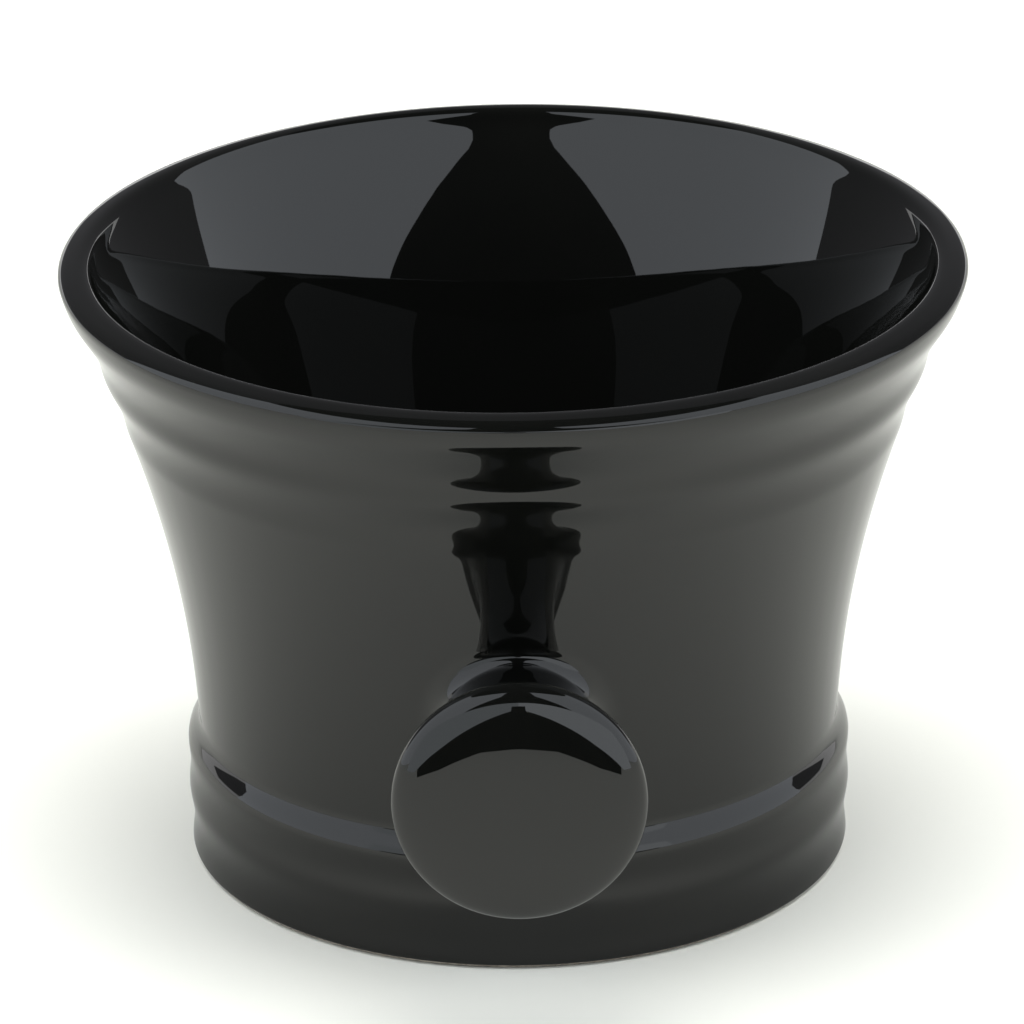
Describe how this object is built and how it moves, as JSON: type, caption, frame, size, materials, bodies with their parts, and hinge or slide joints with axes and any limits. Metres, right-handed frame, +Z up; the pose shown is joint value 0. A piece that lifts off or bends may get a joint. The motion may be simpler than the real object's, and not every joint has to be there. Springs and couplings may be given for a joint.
{
  "type": "shaving bowl",
  "caption": "Flared black-glazed ceramic shaving bowl with a rimmed foot band and a round side knob to hold it while lathering.",
  "frame": {"origin": "the bowl's axis in the plane of its foot, which is the plane it stands on", "axes": "+Z up along the bowl's axis, -Y towards the knob handle, +X to the right seen from the knob's side"},
  "size_m": [0.105, 0.1172, 0.073],
  "materials": {
    "clay": "bare fired stoneware, matt",
    "black_glaze": "high gloss black glaze"
  },
  "bodies": {
    "root": {"bowl_body": "clay", "knob_handle": "clay", "handle_slip_joint": "clay", "outer_glaze": "black_glaze", "inner_glaze": "black_glaze", "knob_glaze": "black_glaze", "underside_glaze": "black_glaze"}
  },
  "joints": []
}
